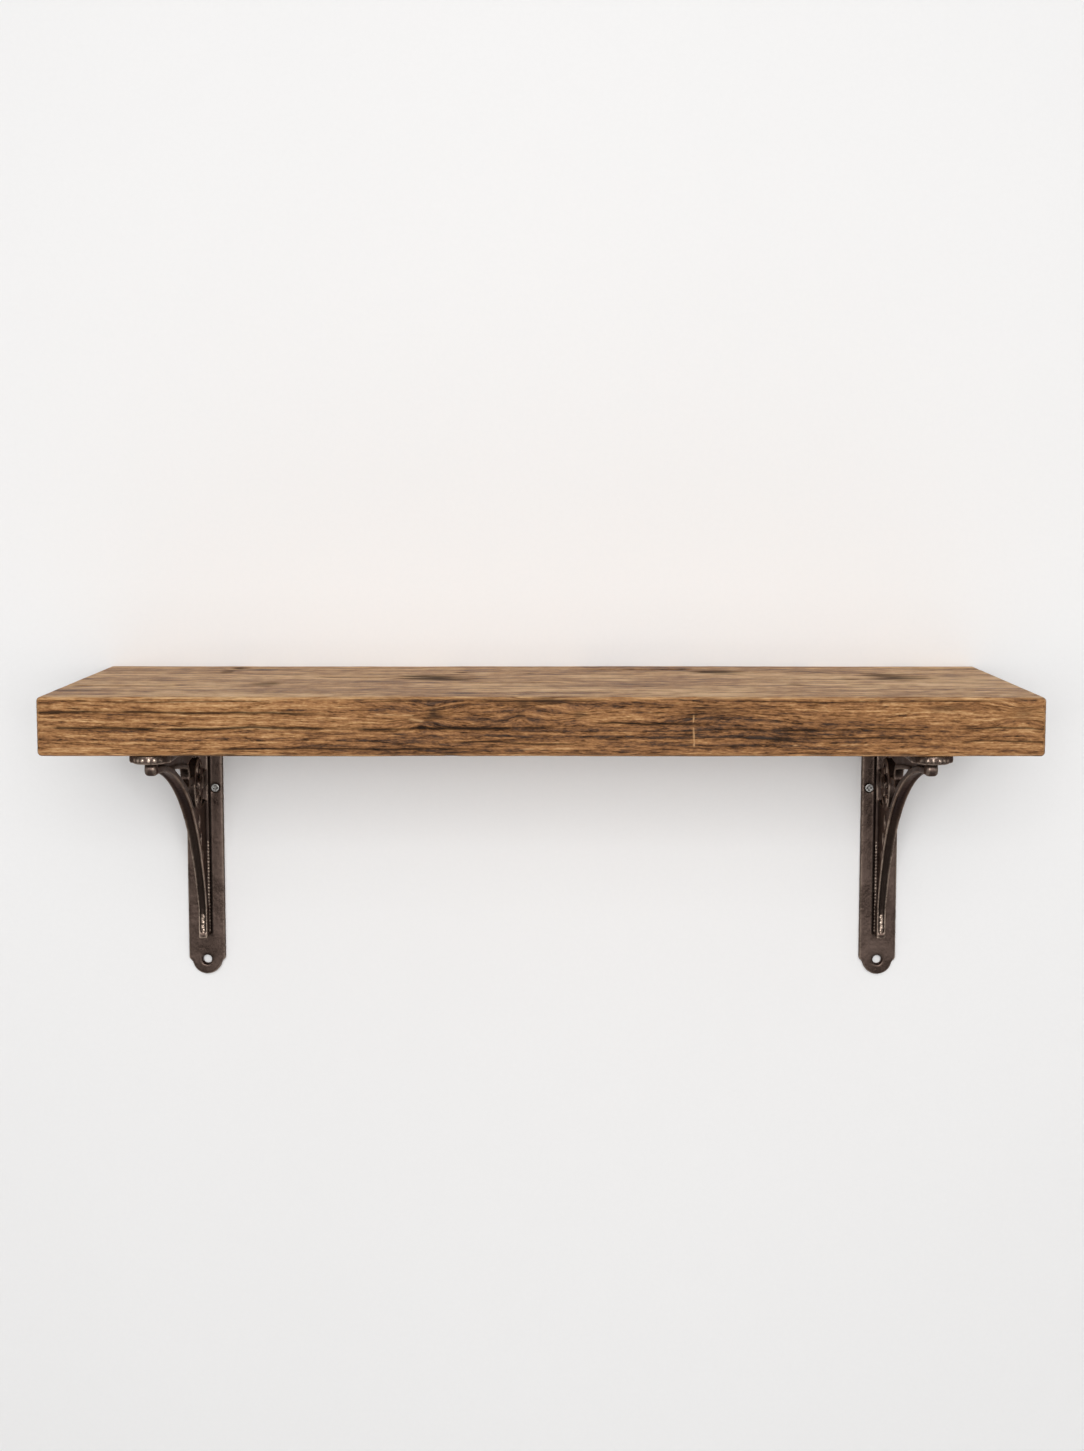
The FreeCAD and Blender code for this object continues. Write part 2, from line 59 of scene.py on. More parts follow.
# Middle line of the log that the plank was sawn from, as depth and height, and the usual ring width.
PITH = (-104.0, 300.0)
RING_WIDTH = 4.0

# Mesh of the plank, in millimetres: steps round each edge, spacing along each axis, and closer places about
# the upright scratch on its front.
EDGE_STEPS = 6
PLANK_SPACING = (2.0, 1.1, 0.45)
SCRATCH_X = 90.75
SCRATCH_PLACES = (-1.0, -0.6, -0.3, 0.3, 0.6, 1.0)

# Wear of the plank, in millimetres: depth of large and small chips in its edges, of the soft wood between
# rings, of slow waves and ripples, and of knots.
LARGE_CHIP = 1.1
SMALL_CHIP = 0.4
SOFT_WOOD = 0.14
WAVE = 0.12
RIPPLE = 0.06
KNOT_SINK = 0.35

# Tone of the plank: how much darker its front is, the painted light that makes its top paler, and the paler
# ends of its front, each as an amount and the places along the plank between which it grows.
PLANK_TONE = 0.51
FRONT_DARKER = 0.08
TOP_PAINTED_LIGHT = 0.26
PALE_ENDS = ((0.20, -70, -190), (0.10, 90, 200))

# Brackets, in millimetres: half widths of the brace at its top and foot, the heights below the board between
# which it narrows, those over which its marks begin, rows to a millimetre in which its front is found, the
# end of its channel, the front of the foot, and the front and half width of the rib.
BRACE_HALF = 4.2
FOOT_HALF = 3.1
TAPER_TOP = 43.5
TAPER_END = 130.0
MARK_START = (15, 18)
BRACE_ROWS = 4
CHANNEL_END = 148.0
FOOT_REACH = 22.5
RIB_REACH = 12.5
RIB_HALF = 3.6

# Cast marks on the brackets, in millimetres: depth of the channel, height of rims and beads, size of a bead.
# Rows of beads run down the rib and the foot, as start, end and spacing below the board, and across the
# arm's end. Dashes are short and long waves, which begin and end below the board between two heights each.
CHANNEL_DEPTH = 0.5
RIM_HEIGHT = 0.2
BEAD_HEIGHT = 0.45
BEAD_SIZE = 0.62
RIB_BEADS = (86, 150, 2.3)
FOOT_BEADS = (136, 147.5, 1.25)
RIB_BEAD_LINE = (RIB_HALF - 0.3, RIB_REACH - 0.2)
FOOT_BEAD_REACH = FOOT_REACH - 0.8
FOOT_BEAD_SWAY = 0.25
ARM_BEADS = (-8.2, -5.6, -3.0, 1.2, 4.8, 8.0)
ARM_BEAD_DROP = 2.9
ARM_END = (205, 208)
DASH_SPACING = (4.3, 11.0)
DASH_START = (84, 92)
DASH_END = (136, 132)

# Skin of the castings: cell of its mesh and shrinkage in millimetres, turns of smoothing for soft edges, for
# telling edges from hollows and for the marks, and the share of the way that a turn goes.
SKIN_CELL = 0.42
SKIN_SHRINK = 0.06
SOFT_TURNS = 14
WIDE_TURNS = 8
MARK_TURNS = 6
TURN_SHARE = 0.6

# Screws, in millimetres: radius of the thread, its core and the head, the rim of the head, the end of the
# shank and the start of the thread, the length of the tip, the gap of the last ring to the tip's end, and
# the pitch. The recess has soft sides and ends, each between two places.
SCREW_RADIUS = 1.7
SCREW_CORE = 1.35
SCREW_HEAD = 2.8
HEAD_RIM = 0.12
SHANK_END = 4.9
THREAD_START = SHANK_END + 0.2
SCREW_TIP = 4.0
TIP_GAP = 0.05
THREAD_PITCH = 1.5
RECESS_DEPTH = 1.0
RECESS_SIDES = (0.62, 0.42)
RECESS_ENDS = (1.75, 1.45)

# Mesh of the screws: points round a ring, rings across the head and along one turn of the thread, places on
# the head's radius of its first and last ring, and half the share of a turn that the thread's crest takes.
SCREW_SIDES = 48
HEAD_RINGS = 14
TURN_RINGS = 8
HEAD_SHARES = (0.04, 0.97)
CREST_SHARE = 0.22

# Noise on a lattice: how many values are drawn, and the numbers that mix a cell's place into one.
DRAWS = 65536
CELL_MIX = (73856093, 19349663, 83492791)


def hashed(cells, seed):
    """One number from 0 to 1 for each cell of a lattice, the same on every run."""
    table = np.random.default_rng(seed).random(DRAWS)
    x, y, z = (cells[..., axis].astype(np.int64) * CELL_MIX[axis] for axis in range(3))
    return table[(x ^ y ^ z) & (DRAWS - 1)]


def soft_noise(points, cell, seed):
    """Smooth noise from -1 to 1 over points in millimetres, with the given cell size along each axis."""
    scaled = points / np.asarray(cell, float)
    base = np.floor(scaled)
    share = scaled - base
    share = share * share * share * (share * (share * 6 - 15) + 10)
    total = np.zeros(len(points))
    for corner in np.ndindex(2, 2, 2):
        weight = np.prod(np.where(corner, share, 1 - share), axis=1)
        total += weight * hashed(base + corner, seed)
    return total * 2 - 1


def smooth_step(low, high, value):
    """Nought up to low and one from high on, with a soft rise between. Where low is above high, it falls."""
    share = np.clip((value - low) / (high - low), 0, 1)
    return share * share * (3 - 2 * share)


def peak(value, middle, half):
    """One at the middle, with a soft fall to either side."""
    return np.exp(-(((value - middle) / half) ** 2))


def new_piece(name, points, faces, replaced, material):
    """A mesh piece of the shelf, from points in millimetres, that stands for one node of the frame."""
    mesh = bpy.data.meshes.new(name)
    mesh.from_pydata(points * MM, [], faces)
    mesh.update()
    piece = bpy.data.objects.new(name, mesh)
    bpy.context.scene.collection.objects.link(piece)
    mesh.shade_smooth()
    finish_piece(piece, replaced, material)
    return piece


def finish_piece(piece, replaced, material):
    """Gives a piece its material and its place in the frame."""
    piece.data.materials.clear()
    piece.data.materials.append(material)
    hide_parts(replaced)
    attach(piece, "root")


def keep_values(mesh, **values):
    """Stores one number, or one place, per point of the mesh under each name, for its material."""
    for name, rows in values.items():
        single = rows.ndim == 1
        held = mesh.attributes.new(name, "FLOAT" if single else "FLOAT_VECTOR", "POINT")
        held.data.foreach_set("value" if single else "vector", rows.astype(np.float32).ravel())


# Shader helpers


def put(tree, kind, *values, **settings):
    """A shader node with its settings and first inputs."""
    made = tree.nodes.new(kind)
    for name, setting in settings.items():
        setattr(made, name, setting)
    feed(tree, made, dict(enumerate(values)))
    return made


def feed(tree, made, inputs):
    """Sets inputs of a node, each to a plain value or to the output of another node."""
    for key, value in inputs.items():
        if isinstance(value, bpy.types.NodeSocket):
            tree.links.new(value, made.inputs[key])
        else:
            made.inputs[key].default_value = value


def calc(tree, operation, *values, clamp=False):
    """One step of arithmetic on plain values and outputs of nodes."""
    return put(tree, "ShaderNodeMath", *values, operation=operation, use_clamp=clamp).outputs[0]


def noise(tree, place, scale, detail, rough):
    """Noise over a place, whose scale is set for each axis."""
    made = put(tree, "ShaderNodeTexNoise")
    where = put(tree, "ShaderNodeVectorMath", place, scale, operation="MULTIPLY").outputs[0]
    feed(tree, made, {"Vector": where, "Scale": 1.0, "Detail": detail, "Roughness": rough})
    return made.outputs["Fac"]


def span(tree, value, low, high, first=0.0, last=1.0):
    """The value's place between low and high, softened, from first to last."""
    made = put(tree, "ShaderNodeMapRange", value, low, high, first, last, interpolation_type="SMOOTHSTEP")
    return made.outputs[0]


def between(tree, mask, first, last):
    """From first where the mask is nought to last where it is one."""
    return span(tree, mask, 0.0, 1.0, first, last)


def mixed(tree, share, first, second):
    """The first colour where the share is nought, and the second where it is one."""
    made = put(tree, "ShaderNodeMix", data_type="RGBA")
    factor, colour_a, colour_b, result = 0, 6, 7, 2
    feed(tree, made, {factor: share, colour_a: first, colour_b: second})
    return made.outputs[result]


def ramp(tree, value, stops):
    """A run of colours, or of greys where a stop is one number."""
    made = put(tree, "ShaderNodeValToRGB", value)
    line = made.color_ramp
    while len(line.elements) < len(stops):
        line.elements.new(1.0)
    for element, (place, colour) in zip(line.elements, stops):
        element.position = place
        element.color = (*colour, 1.0) if isinstance(colour, tuple) else (colour, colour, colour, 1.0)
    return made.outputs[0]


def kept(tree, name):
    """A number that the mesh keeps at each point."""
    return put(tree, "ShaderNodeAttribute", attribute_name=name).outputs["Fac"]


def place_mm(tree):
    """The point's place on the shelf in millimetres."""
    made = put(tree, "ShaderNodeVectorMath", operation="SCALE")
    feed(tree, made, {0: put(tree, "ShaderNodeTexCoord").outputs["Object"], "Scale": 1 / MM})
    return made.outputs[0]


def new_material(name, **constants):
    """A material with its main shader, whose constant inputs are set on the shader itself."""
    material = bpy.data.materials.new(name)
    material.use_nodes = True
    tree = material.node_tree
    shader = tree.nodes["Principled BSDF"]
    for socket, value in constants.items():
        shader.inputs[socket.replace("_", " ")].default_value = value
    return material, tree, shader


def make_mottle():
    """A shared effect: cloudy patches with fine specks in them, as a mask and as a height."""
    group = bpy.data.node_groups.new("mottle", "ShaderNodeTree")
    entries = {"Place": "NodeSocketVector", "Patch": "NodeSocketFloat", "Speck": "NodeSocketFloat"}
    for name, kind in entries.items():
        group.interface.new_socket(name, in_out="INPUT", socket_type=kind)
    for name in ("Mask", "Height"):
        group.interface.new_socket(name, in_out="OUTPUT", socket_type="NodeSocketFloat")
    entry = put(group, "NodeGroupInput").outputs
    leave = put(group, "NodeGroupOutput")
    clouds = []
    for size, detail in (("Patch", 3.0), ("Speck", 4.0)):
        scale = calc(group, "DIVIDE", 1.0, entry[size])
        made = put(group, "ShaderNodeTexNoise")
        feed(group, made, {"Vector": entry["Place"], "Scale": scale, "Detail": detail, "Roughness": 0.6})
        clouds.append(made.outputs["Fac"])
    patch, speck = clouds
    both = calc(group, "MULTIPLY_ADD", speck, 0.45, calc(group, "MULTIPLY", patch, 0.55))
    height = calc(group, "MULTIPLY_ADD", speck, 0.6, both)
    feed(group, leave, {"Mask": span(group, both, 0.32, 0.68), "Height": height})
    return group


mottle = make_mottle()


def mottled(tree, place, patch, speck):
    """The mask and height of the mottle, with the size of its patches and specks in millimetres."""
    made = put(tree, "ShaderNodeGroup", node_tree=mottle)
    feed(tree, made, {"Place": place, "Patch": patch, "Speck": speck})
    return made.outputs["Mask"], made.outputs["Height"]


def bump(tree, shader, height, strength, distance):
    """Fine relief in the look of a surface, whose full height is the distance in metres."""
    made = put(tree, "ShaderNodeBump")
    feed(tree, made, {"Strength": strength, "Distance": distance, "Height": height})
    feed(tree, shader, {"Normal": made.outputs[0]})


# Waxed wood of the plank

# Noises of the grain: scale per millimetre along, across and through the log, detail, and roughness.
GRAIN = {
    "wander": ((0.03, 0.05, 0.14), 3.0, 0.5),
    "strength": ((0.009, 0.03, 0.12), 3.0, 0.5),
    "band": ((0.006, 0.022, 0.085), 3.0, 0.5),
    "streak": ((0.014, 0.085, 0.38), 4.0, 0.6),
    "line": ((0.035, 0.24, 0.80), 4.0, 0.62),
    "fibre": ((0.14, 1.05, 1.05), 3.0, 0.6),
    "hair": ((0.38, 1.5, 1.5), 2.0, 0.6),
    "pore": ((0.09, 0.85, 0.85), 3.0, 0.6),
    "fleck": ((0.13, 1.0, 1.0), 3.0, 0.6),
    "blotch": ((0.08, 0.085, 0.35), 3.0, 0.6),
    "strand": ((0.007, 0.55, 0.55), 4.0, 0.65),
}
# How much each noise counts in the bold, the fine and the long grain.
BOLD_SHARES = {"band": 0.60, "streak": 0.72, "line": 0.78, "blotch": 0.55}
FINE_SHARES = {"fibre": 0.75, "hair": 0.65}
LONG_SHARES = {"strand": 1.0}
# Dark late wood from the inner to the outer side of a ring.
LATE_WOOD = [(0.0, 0.0), (0.42, 0.08), (0.78, 0.7), (0.92, 1.0), (1.0, 0.0)]
# Colours from the darkest to the palest grain, and how a tone is scaled to find its place among them.
WOOD_SHADES = [
    (0.0, (0.022, 0.011, 0.006)),
    (0.16, (0.070, 0.031, 0.013)),
    (0.336, (0.205, 0.090, 0.033)),
    (0.496, (0.335, 0.162, 0.062)),
    (0.80, (0.60, 0.36, 0.17)),
    (1.0, (0.72, 0.47, 0.25)),
]
SHADE_SCALE = 0.8
KNOT_BROWN = (0.028, 0.017, 0.012, 1)
CRACK_BROWN = (0.014, 0.009, 0.006, 1)
RUBBED_WOOD = (0.55, 0.32, 0.15, 1)


def summed(tree, noises, shares):
    """The sum of some of the noises about their middle, each with its share."""
    total = 0.0
    for name, share in shares.items():
        total = calc(tree, "MULTIPLY_ADD", calc(tree, "SUBTRACT", noises[name], 0.5), share, total)
    return total


def plank_wood():
    """Waxed old softwood with rings, fibres and pores, darker in cracks and knots, paler where rubbed."""
    material, tree, shader = new_material("plank_wood", Specular_IOR_Level=0.11)
    flow = put(tree, "ShaderNodeAttribute", attribute_name="flow").outputs["Vector"]
    grain = {name: noise(tree, flow, *values) for name, values in GRAIN.items()}
    flat, end, knot, crack = (kept(tree, name) for name in ("flat", "end", "knot", "crack"))

    ring = calc(tree, "MULTIPLY_ADD", grain["wander"], 2.4, kept(tree, "ring"))
    ring = calc(tree, "FRACT", calc(tree, "DIVIDE", ring, RING_WIDTH))
    strength = calc(tree, "MAXIMUM", span(tree, grain["strength"], 0.38, 0.64), end)
    late = calc(tree, "MULTIPLY", ramp(tree, ring, LATE_WOOD), strength)
    pores = span(tree, grain["pore"], 0.57, 0.68)
    flecks = span(tree, grain["fleck"], 0.60, 0.72)

    fine = summed(tree, grain, FINE_SHARES)
    fine = calc(tree, "MULTIPLY_ADD", late, between(tree, end, -0.20, -0.45), fine)
    fine = calc(tree, "MULTIPLY_ADD", pores, -0.22, fine)
    fine = calc(tree, "MULTIPLY_ADD", flecks, 0.16, fine)
    bold = summed(tree, grain, BOLD_SHARES)
    bolder = calc(tree, "MULTIPLY_ADD", end, -0.5, between(tree, flat, 1.0, 1.8))
    # The kept tone holds painted light that makes the top face paler.
    tone = calc(tree, "MULTIPLY_ADD", bold, bolder, kept(tree, "tone"))
    tone = calc(tree, "MULTIPLY_ADD", fine, between(tree, flat, 1.0, 0.7), tone)
    tone = calc(tree, "MULTIPLY_ADD", summed(tree, grain, LONG_SHARES), between(tree, flat, 0.7, 1.3), tone)

    colour = ramp(tree, calc(tree, "MULTIPLY", tone, SHADE_SCALE), WOOD_SHADES)
    colour = mixed(tree, calc(tree, "MULTIPLY", knot, 1.05, clamp=True), colour, KNOT_BROWN)
    colour = mixed(tree, kept(tree, "rubbed"), colour, RUBBED_WOOD)
    colour = mixed(tree, crack, colour, CRACK_BROWN)
    rough = calc(tree, "MULTIPLY_ADD", grain["fibre"], 0.26, 0.36)
    dull = calc(tree, "MAXIMUM", knot, crack)
    rough = calc(tree, "MULTIPLY_ADD", dull, 0.45, rough, clamp=True)
    feed(tree, shader, {"Base Color": colour, "Roughness": rough})

    height = calc(tree, "MULTIPLY_ADD", late, 0.5, grain["fibre"])
    height = calc(tree, "MULTIPLY_ADD", pores, -0.8, height)
    height = calc(tree, "MULTIPLY_ADD", grain["line"], 0.8, height)
    bump(tree, shader, height, strength=0.8, distance=0.55 * MM)
    return material


# Iron of the brackets and steel of the screws

IRON_DARK = (0.037, 0.025, 0.020, 1)
IRON_BROWN = (0.074, 0.052, 0.043, 1)
# Painted shade for concave hollows and the brace's channel.
IRON_HOLLOW_SHADE = (0.014, 0.010, 0.008, 1)
# Pale colour of edges, rims and beads: partly rubbed wear, partly painted highlight.
IRON_WEAR_AND_GLINT = (0.46, 0.36, 0.29, 1)
IRON_TINT = (0.40, 0.34, 0.31, 1)
STEEL_BRIGHT = (0.34, 0.33, 0.315, 1)
STEEL_DULL = (0.20, 0.195, 0.187, 1)


def bracket_iron():
    """Dark lacquered cast iron, browned in patches and rubbed paler and smoother along its edges. The pale
    edges, rims, beads and dashes are partly rubbed wear and partly painted highlight; the hollows and
    channel are darkened with painted shade.
    """
    material, tree, shader = new_material(
        "bracket_iron", Metallic=0.85, Specular_IOR_Level=0.35, Specular_Tint=IRON_TINT
    )
    mask, height = mottled(tree, place_mm(tree), patch=14.0, speck=1.1)
    edge = calc(tree, "MULTIPLY", kept(tree, "edge"), span(tree, mask, 0.0, 0.8, 0.35, 1.0))
    colour = mixed(tree, mask, IRON_DARK, IRON_BROWN)
    # Painted shade: hollows and the channel are darkened.
    colour = mixed(tree, kept(tree, "hollow"), colour, IRON_HOLLOW_SHADE)
    # Partly rubbed wear and partly painted highlight on edges, rims, beads and dashes.
    colour = mixed(tree, edge, colour, IRON_WEAR_AND_GLINT)
    rough = calc(tree, "MULTIPLY_ADD", edge, -0.12, between(tree, mask, 0.27, 0.42))
    feed(tree, shader, {"Base Color": colour, "Roughness": rough})
    bump(tree, shader, height, strength=0.3, distance=0.16 * MM)
    return material


def screw_steel():
    """Plain steel, dulled in small patches."""
    material, tree, shader = new_material("screw_steel", Metallic=1.0)
    mask, height = mottled(tree, place_mm(tree), patch=2.5, speck=0.4)
    colour = mixed(tree, mask, STEEL_BRIGHT, STEEL_DULL)
    feed(tree, shader, {"Base Color": colour, "Roughness": between(tree, mask, 0.26, 0.42)})
    bump(tree, shader, height, strength=0.25, distance=0.05 * MM)
    return material


# Plank

# Knots: place in millimetres, half size along each axis, darkness, and push on the grain around them.
KNOTS = [
    ((-207, -14, 18), (6, 9, 5), 0.9, 0.6),
    ((-212, -46, 18), (6, 20, 4), 0.5, 0.5),
    ((-66, -92, 18), (30, 20, 6), 0.85, 0.7),
    ((-53, -53, 18), (5, 5, 3), 0.8, 0.5),
    ((-8, -58, 18), (4, 5, 3), 0.9, 0.5),
    ((121, -47, 18), (17, 17, 6), 0.85, 0.7),
    ((230, -88, 18), (20, 25, 6), 0.85, 0.7),
    ((197, -102, 18), (12, 7, 3), 0.5, 0.4),
    ((-174, -138, 18), (10, 16, 4), 0.55, 0.6),
    ((159, -140, 18), (6, 8, 3), 0.4, 0.5),
    ((-64, -225, 8), (5, 6, 4.0), 0.75, 1.0),
    ((-76, -225, 5), (5, 6, 3.0), 0.2, 1.2),
    ((-10, -225, 14), (5, 7, 3.5), 0.6, 1.0),
    ((-13, -225, 7), (3, 5, 2.2), 0.5, 1.2),
    ((6, -225, 16), (12, 8, 2.5), 0.6, 0.9),
    ((23, -225, 7), (4, 5, 2.5), 0.45, 1.1),
    ((-54, -225, -17), (6, 8, 3.0), 0.85, 0.6),
    ((104, -225, 10), (14, 8, 4.0), 0.25, 0.9),
    ((238, -225, 11), (12, 7, 2.4), 0.4, 0.8),
    ((287, -225, 8), (7, 7, 4.5), 0.2, 1.2),
    ((-120, -70, -18), (20, 18, 6), 0.85, 0.7),
    ((70, -150, -18), (14, 12, 6), 0.8, 0.7),
    ((190, -60, -18), (24, 16, 6), 0.7, 0.7),
    ((-30, 0, 4), (14, 9, 5), 0.7, 0.8),
    ((150, 0, -6), (10, 8, 4), 0.6, 0.8),
]
# How far a knot bends the grain, as a share of its half size, and how far out that is worked out.
BEND_SHARE = 2.2
BEND_LIMIT_SHARE = 2.4

# Cracks along the grain: face, start and end along the plank, place across the face, width, depth, sway.
CRACKS = [
    ("front", -300, 40, -0.8, 0.75, 1.2, 0.9),
    ("front", -300, -118, 8.3, 0.7, 0.9, 0.6),
    ("front", 92, 240, -1.4, 0.5, 0.8, 0.7),
    ("front", 246, 300, -0.4, 0.5, 0.7, 1.2),
    ("front", 246, 300, -9.2, 0.45, 0.6, 1.4),
    ("front", -60, 28, -9.5, 0.45, 0.6, 0.8),
    ("front", 120, 230, -7.2, 0.45, 0.6, 0.9),
    ("front", -220, -20, -13.4, 0.45, 0.6, 0.6),
    ("front", 28, 100, 1.4, 0.55, 0.8, 1.2),
    ("front", -292, -150, 15.0, 0.35, 0.3, 0.4),
    ("front", -120, 60, 15.2, 0.35, 0.3, 0.5),
    ("front", 96, 290, 15.1, 0.35, 0.3, 0.4),
    ("top", 20, 112, -28, 2.2, 1.4, 2.0),
    ("top", 255, 300, -23, 2.2, 1.4, 4.0),
    ("top", -150, -96, -88, 1.6, 0.9, 3.0),
    ("top", -60, 20, -128, 1.4, 0.8, 4.0),
    ("top", -300, -215, -148, 1.6, 1.1, 3.0),
    ("top", 130, 210, -102, 1.6, 0.8, 3.0),
    ("bottom", -300, -140, -120, 0.9, 1.6, 2.0),
    ("bottom", 10, 210, -64, 0.8, 1.3, 2.2),
    ("back", -300, -90, 3, 0.7, 1.1, 1.0),
    ("back", 60, 300, -5, 0.7, 1.1, 1.0),
]
# Axis and direction that each face looks along.
FACES = {"front": (1, -1), "back": (1, 1), "top": (2, 1), "bottom": (2, -1)}
# How far past its ends a crack runs out, in millimetres, and the share of its length over which it does.
CRACK_OVERRUN = 2
CRACK_END_SHARE = 0.2

# Rubbed pale marks on the front: ends along the plank, ends up the face, half width, how broken they are.
RUBS = [
    ((35, 76), (9.4, 9.0), 0.45, 0.75),
    ((90.6, 90.9), (6.6, -11.3), 0.45, 0.1),
    ((-102, -74), (7.6, 6.8), 0.40, 0.3),
    ((-77, -70), (4.6, 3.4), 0.55, 0.2),
    ((-236, -180), (15.2, 15.6), 0.35, 0.7),
    ((150, 196), (-11.0, -10.6), 0.35, 0.7),
    ((-20, 20), (-13.2, -13.0), 0.40, 0.6),
]
# Each crack and each rub takes its noise from a place of its own, so far from the last one, in millimetres.
CRACK_STEP = 31
RUB_STEP = 17


def marks_along(half, spacing):
    """Places along one axis of the plank: even across the flat, and evenly turned round each edge."""
    turns = PLANK_ROUND * np.tan(np.linspace(0, math.pi / 4, EDGE_STEPS + 1))[1:]
    flat = half - PLANK_ROUND
    middle = np.linspace(-flat, flat, int(round(2 * flat / spacing)) + 1)
    return np.concatenate([-(flat + turns)[::-1], middle, flat + turns])


def box_surface(xs, ys, zs):
    """Points and four-sided faces of a box whose sides share the given places along each axis."""
    shape = (len(xs), len(ys), len(zs))
    # Each side as a slice of the box, and whether its faces look outward as they are numbered.
    sides = []
    for axis in range(3):
        for end in (0, -1):
            side = [slice(None)] * 3
            side[axis] = end
            sides.append((tuple(side), (end == -1) != (axis == 1)))
    skin = np.zeros(shape, bool)
    for side, _ in sides:
        skin[side] = True
    number = np.full(shape, -1, np.int32)
    number[skin] = np.arange(skin.sum())
    where = np.argwhere(skin)
    points = np.stack([xs[where[:, 0]], ys[where[:, 1]], zs[where[:, 2]]], axis=1)
    faces = []
    for side, outward in sides:
        grid = number[side]
        corners = [grid[:-1, :-1], grid[1:, :-1], grid[1:, 1:], grid[:-1, 1:]]
        quads = np.stack(corners, axis=-1).reshape(-1, 4)
        faces.append(quads if outward else quads[:, ::-1])
    return points, np.concatenate(faces)


def plank_blank():
    """The sawn plank with round edges: its points, the way each looks, and its faces."""
    half = np.array([PLANK_HALF, PLANK_DEPTH / 2, PLANK_HALF_THICK])
    xs, ys, zs = (marks_along(*sizes) for sizes in zip(half, PLANK_SPACING))
    xs = np.sort(np.concatenate([xs, SCRATCH_X + np.array(SCRATCH_PLACES)]))
    points, faces = box_surface(xs, ys, zs)
    core = np.clip(points, PLANK_ROUND - half, half - PLANK_ROUND)
    normals = points - core
    normals /= np.linalg.norm(normals, axis=1)[:, None]
    points = core + normals * PLANK_ROUND
    points[:, 1] -= PLANK_DEPTH / 2
    return points, normals, faces


def grain_flow(points):
    """Each point's place along and across the log, its ring and its darkness. Knots bend the grain."""
    across = points[:, 1] - PITH[0]
    height = points[:, 2] - PITH[1]
    dark = np.zeros(len(points))
    for number, (place, size, darkness, push) in enumerate(KNOTS):
        reach = np.array(size) * BEND_SHARE
        close = np.all(np.abs(points - place) < reach * BEND_LIMIT_SHARE, axis=1)
        away = (points[close] - place) / reach
        near = push * np.exp(-np.sum(away**2, axis=1))
        across[close] += near * size[1] * np.clip(away[:, 1] * 2, -1, 1)
        height[close] += near * size[2] * np.clip(away[:, 2] * 2, -1, 1)
        cell = (size[0] * 0.9, size[1] * 0.3, size[2] * 0.5)
        ragged = soft_noise(points[close], cell, seed=70 + number)
        core = np.linalg.norm(away * BEND_SHARE, axis=1) + 0.45 * ragged
        dark[close] = np.maximum(dark[close], darkness * (1 - smooth_step(0.2, 1.3, core)))
    bend = soft_noise(points, (420, 70, 70), seed=3) * 5 + soft_noise(points, (60, 12, 12), seed=4) * 1.3
    across += bend
    height += bend * 0.6 + points[:, 0] * 0.012
    ring = np.hypot(across, height)
    ring += soft_noise(np.stack([ring, ring * 0, ring * 0], axis=1), (7, 1, 1), seed=5) * 2.0
    return np.stack([points[:, 0], across, height], axis=1), ring, dark


def crack_depth(points, normals):
    """How deep each point lies in a crack, and how dark that makes it."""
    deep = np.zeros(len(points))
    dark = np.zeros(len(points))
    for number, (face, start, end, middle, width, depth, sway) in enumerate(CRACKS):
        axis, sign = FACES[face]
        other = 3 - axis
        room = 4 + 2 * sway
        first, last = start - CRACK_OVERRUN, end + CRACK_OVERRUN
        close = (normals[:, axis] * sign > 0.6) & (np.abs(points[:, other] - middle) < room)
        close &= (points[:, 0] > first) & (points[:, 0] < last)
        along = points[close, 0]
        line = np.stack([along, along * 0 + number * CRACK_STEP, along * 0], axis=1)
        path = middle + sway * soft_noise(line, (34, 1, 1), seed=21)
        path += 0.35 * sway * soft_noise(line, (9, 1, 1), seed=22)
        fade = CRACK_END_SHARE * (end - start)
        share = smooth_step(0.6, 0.95, normals[close, axis] * sign)
        if start > -PLANK_HALF:
            share *= smooth_step(first, start + fade, along)
        if end < PLANK_HALF:
            share *= 1 - smooth_step(end - fade, last, along)
        share *= smooth_step(0.0, 0.45, 0.55 + 0.45 * soft_noise(line, (14, 1, 1), seed=23))
        share = share * peak(points[close, other], path, width * (0.5 + 0.5 * share))
        deep[close] = np.maximum(deep[close], depth * share)
        dark[close] = np.maximum(dark[close], share)
    return deep, dark


def rub_marks(points, normals):
    """How strongly the pale marks on the front show at each point."""
    pale = np.zeros(len(points))
    for number, (ends, heights, half, broken) in enumerate(RUBS):
        first = np.array([ends[0], heights[0]])
        line = np.array([ends[1], heights[1]]) - first
        flat = points[:, (0, 2)] - first
        share = np.clip(flat @ line / (line @ line), 0, 1)
        gap = np.hypot(*(flat - share[:, None] * line).T)
        spots = soft_noise(points + number * RUB_STEP, (2.6, 2.6, 2.6), seed=31)
        solid = smooth_step(-0.15, 0.35, spots + (0.5 - broken))
        pale = np.maximum(pale, solid * peak(gap, 0, half))
    return pale * smooth_step(0.7, 0.95, -normals[:, 1])


